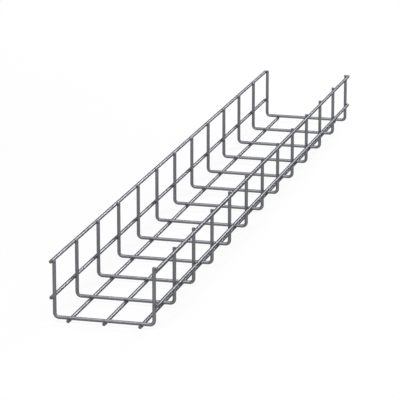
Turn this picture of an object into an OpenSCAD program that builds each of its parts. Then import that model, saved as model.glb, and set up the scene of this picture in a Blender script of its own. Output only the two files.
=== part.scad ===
// Wire mesh cable basket: U-bent cross wires resistance welded onto straight lengthwise wires.
// X runs along the basket, Y across it, Z up. The origin is under the middle of the basket,
// at the level that it stands on. All sizes are in millimetres.

/* [Basket] */
// Number of bays between neighbouring cross wires
bays = 12; // [2:1:24]
// Spacing of the cross wires along the basket
bay_pitch = 100; // [50:5:150]
// Spacing of the lengthwise wires in the floor and up the sides
mesh_pitch = 50; // [40:1:52]
// Width over the outermost wires
overall_w = 151.5; // [147:0.5:200]
// Height from the underside of the floor wires to the wire tops
overall_h = 86; // [78:1:105]

/* [Wire] */
// Diameter of every wire
wire_d = 5; // [4:0.1:6]
// Radius of the two bends of a cross wire, to the wire's centre
bend_r = 6; // [4:0.5:9]
// How far two crossing wires sink into each other at a weld
weld_set = 0.8; // [0.2:0.1:1.2]
// Chamfer that is left on every cut wire end
end_chamfer = 0.4; // [0.1:0.1:0.8]

/* [Hidden] */
$fn = 48;
wire_r = wire_d / 2;

// Distance between the centres of two wires that are welded across each other
weld_gap = wire_d - weld_set;

// The lengthwise wires all lie outside the cross wires: under the floor and outboard of the sides
floor_z = wire_r;
side_y = overall_w / 2 - wire_r;
rim_z = overall_h - wire_r;
mid_z = rim_z - mesh_pitch;

// Centre line of a cross wire: its floor run, its two upright arms and its cut tips
run_z = floor_z + weld_gap;
arm_y = side_y - weld_gap;
tip_z = overall_h;

// The lengthwise wires end flush with the outer faces of the first and last cross wire
lengthwise_l = bays * bay_pitch + wire_d;

// Names and centres of the lengthwise wires, each centre as [y, z]
FLOOR_WIRES = [
    ["floor_wire_right", [-mesh_pitch, floor_z]],
    ["floor_wire_middle", [0, floor_z]],
    ["floor_wire_left", [mesh_pitch, floor_z]]
];
SIDE_WIRES = [
    ["side_wire_right", [-side_y, mid_z]],
    ["side_wire_left", [side_y, mid_z]]
];
RIM_WIRES = [
    ["rim_wire_right", [-side_y, rim_z]],
    ["rim_wire_left", [side_y, rim_z]]
];
LENGTHWISE = concat(FLOOR_WIRES, SIDE_WIRES, RIM_WIRES);

function cross_name(i) = str("cross_wire_", i < 9 ? "0" : "", i + 1);
function cross_x(i) = (i - bays / 2) * bay_pitch;

zinc = [0.52, 0.53, 0.57];

// Half section of a straight wire from one end to the other, as radius against height
module wire_section(length, chamfer_start, chamfer_end) {
    polygon([
        [0, 0],
        [wire_r - chamfer_start, 0],
        [wire_r, chamfer_start],
        [wire_r, length - chamfer_end],
        [wire_r - chamfer_end, length],
        [0, length]
    ]);
}

// A straight run of wire along +Z, with a chamfer on each end that is a cut one
module wire_run(length, chamfer_start = 0, chamfer_end = 0) {
    rotate_extrude()
        wire_section(length, chamfer_start, chamfer_end);
}

// One of the lengthwise wires: a straight wire, cut off square and chamfered at both ends
module lengthwise_wire(centre) {
    color(zinc)
        translate([-lengthwise_l / 2, centre[0], centre[1]])
            rotate([0, 90, 0])
                wire_run(lengthwise_l, end_chamfer, end_chamfer);
}

// Quarter turn of wire that leads the floor run up into the arm on the +Y side
module wire_bend() {
    translate([0, arm_y - bend_r, run_z + bend_r])
        rotate([0, 90, 0])
            rotate_extrude(angle = 90)
                translate([bend_r, 0])
                    circle(r = wire_r);
}

// Half of a bent cross wire: from the middle of its floor run to the cut tip of its +Y arm
module half_hoop() {
    union() {
        translate([0, 0, run_z])
            rotate([-90, 0, 0])
                wire_run(arm_y - bend_r);
        wire_bend();
        translate([0, arm_y, run_z + bend_r])
            wire_run(tip_z - run_z - bend_r, 0, end_chamfer);
    }
}

// The seats that the lengthwise wires press into a cross wire when they are welded to it
module weld_seats() {
    for (wire = LENGTHWISE)
        translate([-wire_d, wire[1][0], wire[1][1]])
            rotate([0, 90, 0])
                cylinder(r = wire_r, h = 2 * wire_d);
}

// One U-bent cross wire with its weld seats
module cross_wire(i) {
    color(zinc)
        translate([cross_x(i), 0, 0])
            difference() {
                union() {
                    half_hoop();
                    mirror([0, 1, 0]) half_hoop();
                }
                weld_seats();
            }
}

for (wire = LENGTHWISE)
    lengthwise_wire(wire[1]);

for (i = [0 : bays])
    cross_wire(i);
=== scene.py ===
"""Looks of a wire mesh cable basket: its zinc plated wires, their welds and a plain studio.

Run as a script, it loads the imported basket, adds each group of pieces with its own operator and
sets up the stage. Every piece lies where its CAD node lies, in metres, with +Z up.
"""

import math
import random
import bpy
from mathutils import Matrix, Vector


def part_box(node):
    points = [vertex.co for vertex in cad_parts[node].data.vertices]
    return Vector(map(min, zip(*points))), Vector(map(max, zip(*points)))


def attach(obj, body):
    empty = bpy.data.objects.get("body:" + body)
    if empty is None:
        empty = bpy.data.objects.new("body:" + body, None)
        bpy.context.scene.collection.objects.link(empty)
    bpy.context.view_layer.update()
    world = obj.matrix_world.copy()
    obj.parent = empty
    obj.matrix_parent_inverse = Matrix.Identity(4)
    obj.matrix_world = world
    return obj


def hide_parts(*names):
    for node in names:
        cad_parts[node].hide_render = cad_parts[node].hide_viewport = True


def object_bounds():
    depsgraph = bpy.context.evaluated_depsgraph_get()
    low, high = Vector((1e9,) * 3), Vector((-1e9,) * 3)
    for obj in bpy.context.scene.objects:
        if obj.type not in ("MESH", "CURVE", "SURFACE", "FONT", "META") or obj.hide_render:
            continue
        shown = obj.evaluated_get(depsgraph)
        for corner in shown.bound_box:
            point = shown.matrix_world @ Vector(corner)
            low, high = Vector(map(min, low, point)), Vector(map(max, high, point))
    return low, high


bl_info = {
    "name": "Wire Mesh Cable Basket",
    "version": (1, 0, 0),
    "blender": (4, 5, 0),
    "location": "3D View > Sidebar > Cable Basket",
    "description": "Adds the finished wires and welds of a cable basket, and a studio to show it in",
    "category": "Add Mesh",
}

import bmesh
import bpy
from mathutils import Vector

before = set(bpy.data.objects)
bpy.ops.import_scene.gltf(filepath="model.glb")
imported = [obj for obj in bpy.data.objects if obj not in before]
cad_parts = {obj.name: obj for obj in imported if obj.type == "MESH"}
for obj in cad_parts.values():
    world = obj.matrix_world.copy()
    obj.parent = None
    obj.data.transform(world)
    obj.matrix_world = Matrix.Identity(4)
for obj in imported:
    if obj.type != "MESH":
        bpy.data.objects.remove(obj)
CAD_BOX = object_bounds()

BODY = "root"
MM = 0.001
X, Y, Z = Vector((1, 0, 0)), Vector((0, 1, 0)), Vector((0, 0, 1))

CROSS_WIRES = sorted(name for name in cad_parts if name.startswith("cross_wire_"))
LENGTHWISE_WIRES = sorted(set(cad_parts) - set(CROSS_WIRES))


def middle(node):
    """The centre of a CAD node's box."""
    low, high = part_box(node)
    return (low + high) / 2


rod_low, rod_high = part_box("floor_wire_middle")
hoop_low, hoop_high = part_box(CROSS_WIRES[0])

WIRE_D = rod_high.z - rod_low.z
WIRE_R = WIRE_D / 2
LENGTH = rod_high.x - rod_low.x
PITCH = middle(CROSS_WIRES[1]).x - middle(CROSS_WIRES[0]).x

# Centre line of a cross wire: the height of its floor run, the place of its arms and their tips
RUN_Z = hoop_low.z + WIRE_R
ARM_Y = hoop_high.y - WIRE_R
TIP_Z = hoop_high.z

# Two welded wires meet in the plane half way between their centre lines
CONTACT = (RUN_Z - middle("floor_wire_middle").z) / 2
FLOOR_SPOTS = sorted(middle(name).y for name in LENGTHWISE_WIRES if name.startswith("floor_"))
ARM_SPOTS = [middle(name).z for name in ("side_wire_left", "rim_wire_left")]

# Places this close together count as one: vertices of a mesh, rings along a wire, and doubles
SAME_VERTEX = 0.01 * MM
SAME_RING = 0.1 * MM
DOUBLES = 0.002 * MM

# Where the rings of a weld spot lie, in halves of its flat's length: over the flat, at the fade and
# beyond the reach of the weld's heat
SPOT_RINGS = (-5, -1.6, -1, -0.5, 0, 0.5, 1, 1.6, 5)

# Width and depth of each step of the hollow in a cut face, from its edge inwards
CUT_HOLLOW = ((0.35 * MM, 0.08 * MM), (0.6 * MM, 0.04 * MM))

# Faces that meet at less than this are shaded smooth
SMOOTH_ANGLE = math.radians(40)

# A weld bead: its depth, its rings as height in depths and width in radii, how much narrower its two
# ends are, and the limits of its random scale along each axis
BEAD_DEPTH = 1.7 * MM
BEAD_RINGS = ((-0.3, 0.97), (0, 1.08), (0.3, 0.97))
BEAD_END = 0.8
BEAD_SCALES = ((0.9, 1.12), (0.9, 1.12), (0.95, 1.05))

# How far the grain pattern moves along from one wire to the next, so that no two look alike, and
# how far back the cross wires start, clear of the lengthwise ones
LENGTHWISE_SHIFT = 1.7
CROSS_SHIFT = 0.9
CROSS_START = 5

# Azimuth and elevation in degrees, width in metres and power in watts of each lamp
LAMPS = {"key": (-90, 60, 1.6, 66), "back": (75, 22, 0.9, 72), "side": (0, 40, 1.6, 16)}
LAMP_DISTANCE = 3.0

# The floor is nearly white where it shows a shadow, and from there turns all white with distance
FLOOR_WHITE = 0.88
FADE_START, FADE_END = 0.4, 1.6
FLOOR_RADIUS = 12

# The camera looks just short of the basket's middle
VIEW_TARGET = Vector((-0.015, 0.025, 0.0183))


class BasketSettings(bpy.types.PropertyGroup):
    """Sizes and colours that a user may change before adding the pieces."""

    wire_sides: bpy.props.IntProperty(
        name="Wire Sides", description="Number of sides of a wire's round section",
        default=32, min=12, max=64)
    bend_radius: bpy.props.FloatProperty(
        name="Bend Radius", description="Radius of a cross wire's bends, to the wire's centre",
        default=6 * MM, min=4 * MM, max=9 * MM, unit="LENGTH")
    bend_steps: bpy.props.IntProperty(
        name="Bend Steps", description="Number of steps in a quarter turn of wire",
        default=14, min=4, max=32)
    cut_chamfer: bpy.props.FloatProperty(
        name="Cut Chamfer", description="Width of the worn edge round a cut wire end",
        default=0.4 * MM, min=0.1 * MM, max=1 * MM, unit="LENGTH")
    mark_length: bpy.props.FloatProperty(
        name="Electrode Mark",
        description="Length of the flat that the welding press leaves on a wire",
        default=3.4 * MM, min=3 * MM, max=5 * MM, unit="LENGTH")
    electrode_depth: bpy.props.FloatProperty(
        name="Electrode Depth", description="Depth of that flat on the side away from the weld",
        default=0.2 * MM, min=0, max=0.4 * MM, unit="LENGTH")
    nugget_radius: bpy.props.FloatProperty(
        name="Weld Radius", description="Radius of the bead of metal squeezed out between two wires",
        default=2.1 * MM, min=1.5 * MM, max=2.4 * MM, unit="LENGTH")
    zinc_color: bpy.props.FloatVectorProperty(
        name="Zinc", description="Colour of the bright zinc plating",
        default=(0.24, 0.242, 0.26), min=0, max=1, subtype="COLOR")
    bloom_color: bpy.props.FloatVectorProperty(
        name="Zinc Bloom", description="Colour of the duller clouds in the plating",
        default=(0.19, 0.192, 0.208), min=0, max=1, subtype="COLOR")
    # Painted shade: this colour darkens the weld beads and the wires round each crossing
    crossing_shade_color: bpy.props.FloatVectorProperty(
        name="Weld", description="Colour of the heated metal round a weld",
        default=(0.13, 0.13, 0.14), min=0, max=1, subtype="COLOR")
    cut_color: bpy.props.FloatVectorProperty(
        name="Cut End", description="Colour of a sheared wire end",
        default=(0.16, 0.16, 0.17), min=0, max=1, subtype="COLOR")
    floor_color: bpy.props.FloatVectorProperty(
        name="Floor", description="Colour of the studio floor",
        default=(0.9, 0.9, 0.9), min=0, max=1, subtype="COLOR")
    bounce_color: bpy.props.FloatVectorProperty(
        name="Floor Bounce",
        description="Colour of the light that the floor throws back up at the basket",
        default=(0.35, 0.35, 0.35), min=0, max=1, subtype="COLOR")
    view_azimuth: bpy.props.FloatProperty(
        name="View Azimuth", description="Side that the camera looks from, 0 looking along +Y",
        default=math.radians(-75), subtype="ANGLE")
    view_elevation: bpy.props.FloatProperty(
        name="View Elevation", description="Height of the camera above the horizon",
        default=math.radians(15.17), subtype="ANGLE")
    view_distance: bpy.props.FloatProperty(
        name="View Distance", description="Distance of the camera from the point that it looks at",
        default=4.255, min=1, max=20, unit="LENGTH")
    focal_length: bpy.props.FloatProperty(
        name="Focal Length", description="Focal length of the camera in millimetres",
        default=250.8, min=20, max=400)


# ---------------------------------------------------------------- modelling helpers


def stand_by():
    """Object mode, with nothing selected."""
    if bpy.context.object and bpy.context.object.mode != "OBJECT":
        bpy.ops.object.mode_set(mode="OBJECT")
    bpy.ops.object.select_all(action="DESELECT")


def take(piece):
    """Make a piece the only selected one, and the active one."""
    stand_by()
    piece.select_set(True)
    bpy.context.view_layer.objects.active = piece


def open_up():
    """Edit mode on the active piece, working on vertices, with all of them selected."""
    bpy.ops.object.mode_set(mode="EDIT")
    bpy.ops.mesh.select_mode(type="VERT")
    bpy.ops.mesh.select_all(action="SELECT")


def pick(piece, test):
    """Select, in edit mode, the vertices whose place passes the test, and return how many they are."""
    bpy.ops.mesh.select_mode(type="VERT")
    bpy.ops.mesh.select_all(action="DESELECT")
    shape = bmesh.from_edit_mesh(piece.data)
    found = [vertex for vertex in shape.verts if test(vertex.co)]
    for vertex in found:
        vertex.select_set(True)
    shape.select_flush(True)
    bmesh.update_edit_mesh(piece.data)
    return len(found)


def wire_ring(place, turn, settings):
    """A ring of the wire's section at a place, square to the Y axis, or turned about Z from there.

    Its uppermost point is the middle of a side, so that no corner stands out of the CAD box.
    """
    half_side = math.pi / settings.wire_sides
    bpy.ops.mesh.primitive_circle_add(
        vertices=settings.wire_sides, radius=WIRE_R, location=place,
        rotation=(math.radians(90), half_side, turn))
    bpy.ops.object.transform_apply(location=True, rotation=True, scale=True)
    return bpy.context.object


def draw_on(way, distances):
    """Extrude the selected ring along a way, one ring at each of the distances from the last place."""
    done = 0.0
    for distance in distances:
        step = way * (distance - done)
        bpy.ops.mesh.extrude_region_move(TRANSFORM_OT_translate={"value": step})
        done = distance


def rings_round(spot, mark):
    """Where the rings of a weld spot lie along its wire."""
    half = mark / 2
    return [spot + offset * half for offset in SPOT_RINGS]


def press_flats(piece, spot, run, weld_side, settings):
    """Flatten a wire at a weld spot, where run is the way that the wire goes.

    The side that the other wire lies on goes down to the plane where the two wires meet, and the
    side under the electrode less far.
    """
    reach = settings.mark_length / 2 + SAME_RING
    keep = [1 - abs(amount) for amount in weld_side]
    for side, level in ((weld_side, CONTACT), (-weld_side, WIRE_R - settings.electrode_depth)):

        def pressed(point):
            offset = point - spot
            return abs(offset.dot(run)) < reach and level < offset.dot(side) < WIRE_D

        if not pick(piece, pressed):
            raise RuntimeError(f"{piece.name} has no ring at its weld spot {spot}")
        bpy.ops.transform.resize(value=keep, center_override=spot + side * level)


def finish_cut_end(piece, place, way, settings):
    """Close the wire end at a place, wear its edge and hollow the cut face, which way points out of."""
    pick(piece, lambda point: (point - place).dot(way) > -SAME_VERTEX and (point - place).length < WIRE_D)
    bpy.ops.mesh.edge_face_add()
    bpy.ops.mesh.select_mode(type="FACE")
    bpy.ops.mesh.bevel(offset=settings.cut_chamfer, segments=3, affect="EDGES")
    bpy.ops.mesh.select_all(action="DESELECT")
    shape = bmesh.from_edit_mesh(piece.data)
    shape.normal_update()
    for face in shape.faces:
        centre = face.calc_center_median()
        flat = abs(face.normal.dot(way)) > 0.99
        face.select_set(flat and (centre - place).length < SAME_RING)
    bmesh.update_edit_mesh(piece.data)
    for width, depth in CUT_HOLLOW:
        bpy.ops.mesh.inset(thickness=width, depth=0)
        bpy.ops.transform.translate(value=way * -depth)


def tidy_mesh():
    """Merge the active piece's doubles, turn its faces outwards and leave edit mode."""
    bpy.ops.mesh.select_all(action="SELECT")
    bpy.ops.mesh.remove_doubles(threshold=DOUBLES)
    bpy.ops.mesh.normals_make_consistent(inside=False)
    bpy.ops.object.mode_set(mode="OBJECT")
    bpy.ops.object.shade_smooth_by_angle(angle=SMOOTH_ANGLE)


def copy_piece(piece, name):
    """A copy of a piece with its own mesh."""
    twin = piece.copy()
    twin.data = piece.data.copy()
    twin.name = name
    twin.data.name = name
    bpy.context.scene.collection.objects.link(twin)
    return twin


def settle(piece):
    """Put a piece's place and turn into its mesh, so that its object sits at the origin."""
    take(piece)
    bpy.ops.object.transform_apply(location=True, rotation=True, scale=True)


def hand_over(piece, materials, *nodes):
    """Give a finished piece its materials and tie it to the frame, in place of its CAD nodes."""
    for material in materials:
        piece.data.materials.append(material)
    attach(piece, BODY)
    if nodes:
        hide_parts(*nodes)


def note_blank(piece, straighten, spots, batch):
    """Keep each vertex's place on the straight wire, before bending, and how far the next weld is.

    Grain follows the wire through these two attributes. The batch moves the pattern from wire to wire.
    """
    mesh = piece.data
    mesh.attributes.new("blank", "FLOAT_VECTOR", "POINT")
    mesh.attributes.new("weld_distance", "FLOAT", "POINT")
    places, gaps = mesh.attributes["blank"].data, mesh.attributes["weld_distance"].data
    for vertex, place, gap in zip(mesh.vertices, places, gaps):
        straight = straighten(vertex.co)
        place.vector = straight + X * batch
        gap.value = min(abs(straight.x - spot) for spot in spots)


def mark_cut_faces(piece, is_cut):
    """Faces that the shear left bare take the second material."""
    for face in piece.data.polygons:
        if is_cut(face):
            face.material_index = 1


# ---------------------------------------------------------------- materials


def new_group(name, inputs, outputs):
    """A shader node group with named inputs and outputs, and its end nodes."""
    group = bpy.data.node_groups.new(name, "ShaderNodeTree")
    for label, kind, value in inputs:
        socket = group.interface.new_socket(label, in_out="INPUT", socket_type=kind)
        if value is not None:
            socket.default_value = value
    for label, kind in outputs:
        group.interface.new_socket(label, in_out="OUTPUT", socket_type=kind)
    return group, group.nodes.new("NodeGroupInput"), group.nodes.new("NodeGroupOutput")


def stretched_noise(tree, vector, stretch, detail=2.0):
    """Noise with its own frequency along each axis, in cycles a metre."""
    scaled = tree.nodes.new("ShaderNodeVectorMath")
    scaled.operation = "MULTIPLY"
    scaled.inputs[1].default_value = stretch
    tree.links.new(vector, scaled.inputs[0])
    noise = tree.nodes.new("ShaderNodeTexNoise")
    noise.inputs["Scale"].default_value = 1.0
    noise.inputs["Detail"].default_value = detail
    tree.links.new(scaled.outputs["Vector"], noise.inputs["Vector"])
    return noise.outputs["Fac"]


def spread(tree, value, low, high):
    """Map a value from low..high to 0..1."""
    ramp = tree.nodes.new("ShaderNodeMapRange")
    ramp.inputs["From Min"].default_value = low
    ramp.inputs["From Max"].default_value = high
    tree.links.new(value, ramp.inputs["Value"])
    return ramp.outputs["Result"]


def combine(tree, operation, first, second):
    """Maths on two values, each a socket or a number."""
    node = tree.nodes.new("ShaderNodeMath")
    node.operation = operation
    for socket, value in zip(node.inputs, (first, second)):
        if isinstance(value, (int, float)):
            socket.default_value = value
        else:
            tree.links.new(value, socket)
    return node.outputs["Value"]


def weighted(tree, base, *terms):
    """A base value, plus each of the sockets times its weight."""
    total = base
    for socket, weight in terms:
        total = combine(tree, "ADD", total, combine(tree, "MULTIPLY", socket, weight))
    return total


def drawn_grain_group():
    """Fine lines that the drawing die leaves along a wire."""
    group, start, end = new_group(
        "Drawn Grain",
        [("Place", "NodeSocketVector", None)],
        [("Streak", "NodeSocketFloat"), ("Relief", "NodeSocketFloat")])
    fine = stretched_noise(group, start.outputs["Place"], (5, 5200, 5200))
    broad = stretched_noise(group, start.outputs["Place"], (4, 1300, 1300))
    streak = weighted(group, 0, (fine, 0.6), (broad, 0.4))
    group.links.new(spread(group, streak, 0.35, 0.65), end.inputs["Streak"])
    group.links.new(fine, end.inputs["Relief"])
    return group


def zinc_bloom_group():
    """Clouds and specks of duller zinc, out of the plating bath."""
    group, start, end = new_group(
        "Zinc Bloom",
        [("Place", "NodeSocketVector", None)],
        [("Cloud", "NodeSocketFloat"), ("Speck", "NodeSocketFloat")])
    cloud = stretched_noise(group, start.outputs["Place"], (22, 150, 150), detail=3.0)
    speck = stretched_noise(group, start.outputs["Place"], (1900, 1900, 1900), detail=1.0)
    group.links.new(spread(group, cloud, 0.35, 0.68), end.inputs["Cloud"])
    group.links.new(spread(group, speck, 0.62, 0.78), end.inputs["Speck"])
    return group


def crossing_shade_group():
    """How strongly painted shade darkens the plating where two wires cross, fading away from the weld."""
    group, start, end = new_group(
        "Weld Heat",
        [("Distance", "NodeSocketFloat", 1.0), ("Reach", "NodeSocketFloat", 3 * MM),
         ("Place", "NodeSocketVector", None)],
        [("Crossing Shade", "NodeSocketFloat")])
    ragged = stretched_noise(group, start.outputs["Place"], (700, 700, 700))
    wander = combine(group, "MULTIPLY", combine(group, "SUBTRACT", ragged, 0.5), 1.2)
    share = combine(group, "DIVIDE", start.outputs["Distance"], start.outputs["Reach"])
    # Painted shade: strongest at the weld where the wires cross, gone past its reach
    crossing_shade = spread(group, combine(group, "ADD", share, wander), 1.0, 0.35)
    group.links.new(crossing_shade, end.inputs["Crossing Shade"])
    return group


def place_group(tree, group, links=(), values=()):
    """Put a node group in a material, linked and set by its inputs' names."""
    node = tree.nodes.new("ShaderNodeGroup")
    node.node_tree = group
    for label, socket in links:
        tree.links.new(socket, node.inputs[label])
    for label, value in values:
        node.inputs[label].default_value = value
    return node


def blend(tree, share, first, second):
    """Mix two colours, each a socket or an RGB triple."""
    node = tree.nodes.new("ShaderNodeMix")
    node.data_type = "RGBA"
    tree.links.new(share, node.inputs["Factor"])
    for label, value in (("A", first), ("B", second)):
        socket = next(s for s in node.inputs if s.name == label and s.type == "RGBA")
        if isinstance(value, bpy.types.NodeSocket):
            tree.links.new(value, socket)
        else:
            socket.default_value = (*value, 1)
    return next(s for s in node.outputs if s.type == "RGBA")


def relief(tree, height, strength, depth):
    """A bump from a height."""
    node = tree.nodes.new("ShaderNodeBump")
    node.inputs["Strength"].default_value = strength
    node.inputs["Distance"].default_value = depth
    tree.links.new(height, node.inputs["Height"])
    return node.outputs["Normal"]


def new_material(name, metallic, edge_tint, sheen_level):
    """An empty material with its shader, its metal share and how it reflects at a grazing angle."""
    material = bpy.data.materials.new(name)
    material.use_nodes = True
    shader = material.node_tree.nodes["Principled BSDF"]
    shader.inputs["Metallic"].default_value = metallic
    shader.inputs["Specular Tint"].default_value = (*edge_tint, 1)
    shader.inputs["Specular IOR Level"].default_value = sheen_level
    return material, material.node_tree, shader


def own_attribute(tree, name, output):
    """A mesh attribute of the piece."""
    node = tree.nodes.new("ShaderNodeAttribute")
    node.attribute_name = name
    return node.outputs[output]


def zinc_wire_material(settings, grain, bloom, crossing_shade):
    """Bright zinc on drawn wire: streaks along it, clouds of bloom, and painted shade darkening it near
    each weld where the wires cross, which is also rougher there.
    """
    material, tree, shader = new_material("bright_zinc", 0.5, (0.05, 0.05, 0.06), 0.0)
    place = own_attribute(tree, "blank", "Vector")
    lines = place_group(tree, grain, [("Place", place)])
    clouds = place_group(tree, bloom, [("Place", place)])
    crossing_shade_marks = place_group(
        tree, crossing_shade, [("Place", place), ("Distance", own_attribute(tree, "weld_distance", "Fac"))],
        [("Reach", 2.8 * MM)])
    dull = weighted(tree, 0, (clouds.outputs["Cloud"], 0.4), (lines.outputs["Streak"], 0.35))
    plated = blend(tree, dull, settings.zinc_color, settings.bloom_color)
    # Painted shade: the plating darkens towards the crossing shade colour near each weld, where the wires
    # cross
    shadowed = blend(tree, combine(tree, "MULTIPLY", crossing_shade_marks.outputs["Crossing Shade"], 0.4), plated, settings.crossing_shade_color)
    tree.links.new(shadowed, shader.inputs["Base Color"])
    rough = weighted(tree, 0.27, (dull, 0.12), (crossing_shade_marks.outputs["Crossing Shade"], 0.1))
    tree.links.new(rough, shader.inputs["Roughness"])
    height = weighted(tree, lines.outputs["Relief"], (clouds.outputs["Speck"], 0.12))
    tree.links.new(relief(tree, height, 0.08, 0.02 * MM), shader.inputs["Normal"])
    return material


def cut_end_material(settings, grain):
    """Bare steel where the shear cut the wire: dull, with fine lines across it."""
    material, tree, shader = new_material("sheared_steel", 0.5, (0.2, 0.2, 0.2), 0.1)
    place = tree.nodes.new("ShaderNodeTexCoord").outputs["Object"]
    lines = place_group(tree, grain, [("Place", place)])
    color = blend(tree, lines.outputs["Streak"], settings.cut_color, settings.bloom_color)
    tree.links.new(color, shader.inputs["Base Color"])
    tree.links.new(weighted(tree, 0.4, (lines.outputs["Streak"], 0.2)), shader.inputs["Roughness"])
    tree.links.new(relief(tree, lines.outputs["Relief"], 0.6, 0.05 * MM), shader.inputs["Normal"])
    return material


def weld_material(settings, bloom):
    """The bead of a weld under its zinc: painted darker with the shade where the wires cross, and rougher,
    with a grainy skin.
    """
    material, tree, shader = new_material("weld_bead", 0.4, (0.2, 0.2, 0.2), 0.1)
    place = tree.nodes.new("ShaderNodeTexCoord").outputs["Object"]
    clouds = place_group(tree, bloom, [("Place", place)])
    # Painted shade: the bead takes the dark crossing shade colour, broken by clouds of bloom
    color = blend(tree, clouds.outputs["Cloud"], settings.crossing_shade_color, settings.bloom_color)
    tree.links.new(color, shader.inputs["Base Color"])
    tree.links.new(weighted(tree, 0.45, (clouds.outputs["Cloud"], 0.2)), shader.inputs["Roughness"])
    grains = stretched_noise(tree, place, (2600, 2600, 2600))
    tree.links.new(relief(tree, grains, 0.8, 0.06 * MM), shader.inputs["Normal"])
    return material


def basket_materials(settings):
    """The three finishes, made once and then shared by every piece."""
    if "bright_zinc" not in bpy.data.materials:
        grain, bloom, crossing_shade = drawn_grain_group(), zinc_bloom_group(), crossing_shade_group()
        zinc_wire_material(settings, grain, bloom, crossing_shade)
        cut_end_material(settings, grain)
        weld_material(settings, bloom)
    return [bpy.data.materials[name] for name in ("bright_zinc", "sheared_steel", "weld_bead")]


# ---------------------------------------------------------------- pieces


class BASKET_OT_lengthwise_wires(bpy.types.Operator):
    """Add the straight wires that run along the basket, pressed flat where they are welded"""

    bl_idname = "basket.lengthwise_wires"
    bl_label = "Add Lengthwise Wires"
    bl_options = {"REGISTER", "UNDO"}

    def execute(self, context):
        settings = context.scene.basket
        zinc, cut, _ = basket_materials(settings)
        master = self.straight_wire(settings)
        spots = [middle(name).x for name in CROSS_WIRES]
        for batch, name in enumerate(LENGTHWISE_WIRES):
            wire = copy_piece(master, name + "_finish")
            note_blank(wire, lambda point: point.copy(), spots, batch * LENGTHWISE_SHIFT)
            centre = middle(name)
            if abs(centre.y) > ARM_Y:
                wire.rotation_euler.x = math.copysign(math.radians(90), centre.y)
            wire.location = centre
            settle(wire)
            hand_over(wire, (zinc, cut), name)
        bpy.data.objects.remove(master)
        return {"FINISHED"}

    def straight_wire(self, settings):
        """One straight wire on the X axis, welded on top: a bay of it, repeated and cut to length."""
        stand_by()
        bay = wire_ring(Vector((-PITCH / 2, 0, 0)), math.radians(90), settings)
        open_up()
        draw_on(X, rings_round(PITCH / 2, settings.mark_length) + [PITCH])
        press_flats(bay, Vector(), X, Z, settings)
        bpy.ops.object.mode_set(mode="OBJECT")
        row = bay.modifiers.new("bays", "ARRAY")
        row.count = len(CROSS_WIRES)
        row.use_relative_offset = False
        row.use_constant_offset = True
        row.constant_offset_displace = (PITCH, 0, 0)
        row.use_merge_vertices = True
        row.merge_threshold = SAME_VERTEX
        bpy.ops.object.modifier_apply(modifier=row.name)
        bay.location.x = middle(CROSS_WIRES[0]).x
        bpy.ops.object.transform_apply(location=True, rotation=False, scale=False)
        for way in (X, -X):
            end = way * (LENGTH / 2)
            open_up()
            bpy.ops.mesh.bisect(plane_co=end, plane_no=way, clear_outer=True)
            finish_cut_end(bay, end, way, settings)
        tidy_mesh()
        mark_cut_faces(bay, lambda face: abs(face.normal.x) > 0.9)
        return bay


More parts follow.
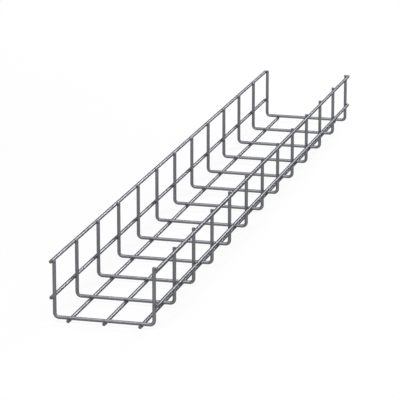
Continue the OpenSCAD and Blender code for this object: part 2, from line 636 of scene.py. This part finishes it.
class BASKET_OT_cross_wires(bpy.types.Operator):
    """Add the U-bent wires that cross the basket, pressed flat where they are welded"""

    bl_idname = "basket.cross_wires"
    bl_label = "Add Cross Wires"
    bl_options = {"REGISTER", "UNDO"}

    def execute(self, context):
        settings = context.scene.basket
        zinc, cut, _ = basket_materials(settings)
        master = self.bent_wire(settings)
        arm_start = ARM_Y - settings.bend_radius
        arc = settings.bend_radius * math.pi / 2
        arms = [arm_start + arc + spot - (RUN_Z + settings.bend_radius) for spot in ARM_SPOTS]
        spots = FLOOR_SPOTS + arms + [-spot for spot in arms]
        for batch, name in enumerate(CROSS_WIRES):
            wire = copy_piece(master, name + "_finish")
            shift = -CROSS_START - batch * CROSS_SHIFT
            note_blank(wire, lambda point: self.straighten(point, settings), spots, shift)
            wire.location.x = middle(name).x
            settle(wire)
            hand_over(wire, (zinc, cut), name)
        bpy.data.objects.remove(master)
        return {"FINISHED"}

    def bent_wire(self, settings):
        """One cross wire over the origin: half of it drawn, bent and drawn on, then mirrored."""
        stand_by()
        mark = settings.mark_length
        bend_y = ARM_Y - settings.bend_radius
        bend_z = RUN_Z + settings.bend_radius
        hoop = wire_ring(Vector((0, 0, RUN_Z)), 0, settings)
        open_up()
        floor_rings = [ring for spot in FLOOR_SPOTS for ring in rings_round(spot, mark)]
        draw_on(Y, [ring for ring in floor_rings if ring > SAME_RING] + [bend_y])
        bpy.ops.mesh.spin(
            steps=settings.bend_steps, angle=math.radians(90), center=(0, bend_y, bend_z), axis=-X)
        arm_rings = [ring - bend_z for spot in ARM_SPOTS for ring in rings_round(spot, mark)]
        tip = TIP_Z - bend_z
        draw_on(Z, [ring for ring in arm_rings if ring < tip - settings.cut_chamfer] + [tip])
        finish_cut_end(hoop, Vector((0, ARM_Y, TIP_Z)), Z, settings)
        for spot in (spot for spot in FLOOR_SPOTS if spot > -SAME_RING):
            press_flats(hoop, Vector((0, spot, RUN_Z)), Y, -Z, settings)
        for spot in ARM_SPOTS:
            press_flats(hoop, Vector((0, ARM_Y, spot)), Z, Y, settings)
        bpy.ops.object.mode_set(mode="OBJECT")
        mirror = hoop.modifiers.new("other_half", "MIRROR")
        mirror.use_axis = (False, True, False)
        mirror.merge_threshold = SAME_VERTEX
        bpy.ops.object.modifier_apply(modifier=mirror.name)
        open_up()
        tidy_mesh()
        mark_cut_faces(hoop, lambda face: face.normal.z > 0.9 and face.center.z > TIP_Z - 0.3 * MM)
        return hoop

    def straighten(self, point, settings):
        """Where a point of the bent wire lay on the straight one, with X along the wire."""
        radius = settings.bend_radius
        bend_y, bend_z = ARM_Y - radius, RUN_Z + radius
        side = -1 if point.y < 0 else 1
        y, z = abs(point.y), point.z
        if y < bend_y and z < bend_z:
            along, across = y, z - RUN_Z
        elif z < bend_z:
            offset = Vector((y - bend_y, bend_z - z))
            along = bend_y + radius * math.atan2(offset.x, offset.y)
            across = radius - offset.length
        else:
            along, across = bend_y + radius * math.pi / 2 + z - bend_z, ARM_Y - y
        return Vector((side * along, point.x, across))


class BASKET_OT_weld_beads(bpy.types.Operator):
    """Add the beads of metal that the welding press squeezes out where two wires cross"""

    bl_idname = "basket.weld_beads"
    bl_label = "Add Weld Beads"
    bl_options = {"REGISTER", "UNDO"}

    def execute(self, context):
        settings = context.scene.basket
        bead_finish = basket_materials(settings)[2]
        rng = random.Random(7)
        master = self.bead(settings)
        spots = [(Vector((0, y, RUN_Z - CONTACT)), 0) for y in FLOOR_SPOTS]
        for side in (-1, 1):
            spots += [(Vector((0, side * (ARM_Y + CONTACT), z)), math.radians(90)) for z in ARM_SPOTS]
        for node in CROSS_WIRES:
            beads = []
            for spot, tilt in spots:
                bead = copy_piece(master, "bead")
                bead.location = spot + X * middle(node).x
                bead.rotation_euler = (tilt, 0, 0)
                bead.scale = [rng.uniform(*limits) for limits in BEAD_SCALES]
                beads.append(bead)
            stand_by()
            for bead in beads:
                bead.select_set(True)
            bpy.context.view_layer.objects.active = beads[0]
            bpy.ops.object.transform_apply(location=True, rotation=True, scale=True)
            bpy.ops.object.join()
            beads[0].name = beads[0].data.name = "weld_beads_" + node[-2:]
            hand_over(beads[0], (bead_finish,))
        bpy.data.objects.remove(master)
        return {"FINISHED"}

    def bead(self, settings):
        """One bead at the origin, in the plane in which the wires meet, which is level here."""
        stand_by()
        bpy.ops.mesh.primitive_cylinder_add(
            vertices=16, radius=settings.nugget_radius, depth=BEAD_DEPTH, end_fill_type="NGON")
        bead = bpy.context.object
        open_up()
        for share, width in BEAD_RINGS:
            level = share * BEAD_DEPTH
            bpy.ops.mesh.select_all(action="SELECT")
            bpy.ops.mesh.bisect(plane_co=(0, 0, level), plane_no=Z)
            pick(bead, lambda point: abs(point.z - level) < SAME_VERTEX)
            bpy.ops.transform.resize(value=(width, width, 1), center_override=(0, 0, 0))
        pick(bead, lambda point: abs(point.z) > BEAD_DEPTH / 2 - SAME_VERTEX)
        bpy.ops.transform.resize(value=(BEAD_END, BEAD_END, 1), center_override=(0, 0, 0))
        tidy_mesh()
        bpy.ops.object.shade_smooth()
        return bead


# ---------------------------------------------------------------- studio


class BASKET_OT_studio(bpy.types.Operator):
    """Add the floor, the lamps, the surroundings and the camera"""

    bl_idname = "basket.studio"
    bl_label = "Set Up Studio"
    bl_options = {"REGISTER", "UNDO"}

    def execute(self, context):
        settings = context.scene.basket
        self.floor(settings)
        self.surroundings(context.scene)
        self.camera(context.scene, settings)
        target = (CAD_BOX[0] + CAD_BOX[1]) / 2
        for name, (azimuth, elevation, size, power) in LAMPS.items():
            self.lamp(name, target, azimuth, elevation, size, power)
        context.scene.view_settings.view_transform = "Standard"
        return {"FINISHED"}

    def floor(self, settings):
        """A wide pale floor that the basket stands on."""
        stand_by()
        bpy.ops.mesh.primitive_circle_add(vertices=64, radius=FLOOR_RADIUS, fill_type="NGON")
        floor = bpy.context.object
        floor.name = "studio_floor"
        material = bpy.data.materials.new("studio_floor")
        material.use_nodes = True
        tree = material.node_tree
        shader = tree.nodes["Principled BSDF"]
        shader.inputs["Roughness"].default_value = 0.9
        shader.inputs["Specular IOR Level"].default_value = 0.1
        white = tree.nodes.new("ShaderNodeEmission")
        mix = tree.nodes.new("ShaderNodeMixShader")
        seen = seen_directly(tree)
        color = blend(tree, seen, settings.bounce_color, settings.floor_color)
        tree.links.new(color, shader.inputs["Base Color"])
        place = tree.nodes.new("ShaderNodeTexCoord").outputs["Object"]
        reach = tree.nodes.new("ShaderNodeVectorMath")
        reach.operation = "LENGTH"
        tree.links.new(place, reach.inputs[0])
        fade = spread(tree, reach.outputs["Value"], FADE_START, FADE_END)
        whiteness = weighted(tree, FLOOR_WHITE, (fade, 1 - FLOOR_WHITE))
        tree.links.new(combine(tree, "MULTIPLY", seen, whiteness), mix.inputs["Fac"])
        tree.links.new(shader.outputs["BSDF"], mix.inputs[1])
        tree.links.new(white.outputs["Emission"], mix.inputs[2])
        tree.links.new(mix.outputs["Shader"], tree.nodes["Material Output"].inputs["Surface"])
        floor.data.materials.append(material)

    def surroundings(self, scene):
        """Soft grey daylight on the object, and white wherever the background is seen."""
        world = bpy.data.worlds.new("studio")
        scene.world = world
        world.use_nodes = True
        tree = world.node_tree
        soft = tree.nodes["Background"]
        soft.inputs["Color"].default_value = (0.9, 0.95, 1, 1)
        soft.inputs["Strength"].default_value = 0.08
        white = tree.nodes.new("ShaderNodeBackground")
        white.inputs["Color"].default_value = (1, 1, 1, 1)
        mix = tree.nodes.new("ShaderNodeMixShader")
        tree.links.new(seen_directly(tree), mix.inputs["Fac"])
        tree.links.new(soft.outputs["Background"], mix.inputs[1])
        tree.links.new(white.outputs["Background"], mix.inputs[2])
        tree.links.new(mix.outputs["Shader"], tree.nodes["World Output"].inputs["Surface"])

    def lamp(self, name, target, azimuth, elevation, size, power):
        """A square soft lamp that shines at the target, where azimuth 0 stands at the -Y side."""
        data = bpy.data.lights.new(name, "AREA")
        data.size = size
        data.energy = power
        lamp = bpy.data.objects.new(name, data)
        lamp.location = target + toward(math.radians(azimuth), math.radians(elevation)) * LAMP_DISTANCE
        lamp.rotation_euler = (lamp.location - target).to_track_quat("Z", "Y").to_euler()
        bpy.context.scene.collection.objects.link(lamp)

    def camera(self, scene, settings):
        """The camera, at the side and height of the settings."""
        data = bpy.data.cameras.new("camera")
        data.lens = settings.focal_length
        data.clip_end = 100
        camera = bpy.data.objects.new("camera", data)
        back = toward(settings.view_azimuth, settings.view_elevation)
        camera.location = VIEW_TARGET + back * settings.view_distance
        camera.rotation_euler = back.to_track_quat("Z", "Y").to_euler()
        scene.collection.objects.link(camera)
        scene.camera = camera


def toward(azimuth, elevation):
    """The way from the object to a viewer: azimuth 0 stands at the -Y side, 90 degrees at the +X side."""
    level = math.cos(elevation)
    return Vector((math.sin(azimuth) * level, -math.cos(azimuth) * level, math.sin(elevation)))


def seen_directly(tree):
    """1 for rays that show the background, in the picture, in a reflection or through glass."""
    rays = tree.nodes.new("ShaderNodeLightPath").outputs
    reflected = combine(tree, "MAXIMUM", rays["Is Glossy Ray"], rays["Is Transmission Ray"])
    return combine(tree, "MAXIMUM", rays["Is Camera Ray"], reflected)


# ---------------------------------------------------------------- add-on


class BASKET_PT_sidebar(bpy.types.Panel):
    """Sizes, colours and operators of the cable basket"""

    bl_idname = "BASKET_PT_sidebar"
    bl_label = "Cable Basket"
    bl_space_type = "VIEW_3D"
    bl_region_type = "UI"
    bl_category = "Cable Basket"

    def draw(self, context):
        column = self.layout.column()
        for name in BasketSettings.__annotations__:
            column.prop(context.scene.basket, name)
        for operator in OPERATORS:
            column.operator(operator.bl_idname)


OPERATORS = (
    BASKET_OT_lengthwise_wires,
    BASKET_OT_cross_wires,
    BASKET_OT_weld_beads,
    BASKET_OT_studio,
)
CLASSES = (BasketSettings, *OPERATORS, BASKET_PT_sidebar)


def register():
    for cls in CLASSES:
        bpy.utils.register_class(cls)
    bpy.types.Scene.basket = bpy.props.PointerProperty(type=BasketSettings)


def unregister():
    del bpy.types.Scene.basket
    for cls in reversed(CLASSES):
        bpy.utils.unregister_class(cls)


def main():
    register()
    bpy.ops.basket.lengthwise_wires()
    bpy.ops.basket.cross_wires()
    bpy.ops.basket.weld_beads()
    bpy.ops.basket.studio()


if __name__ == "__main__":
    main()
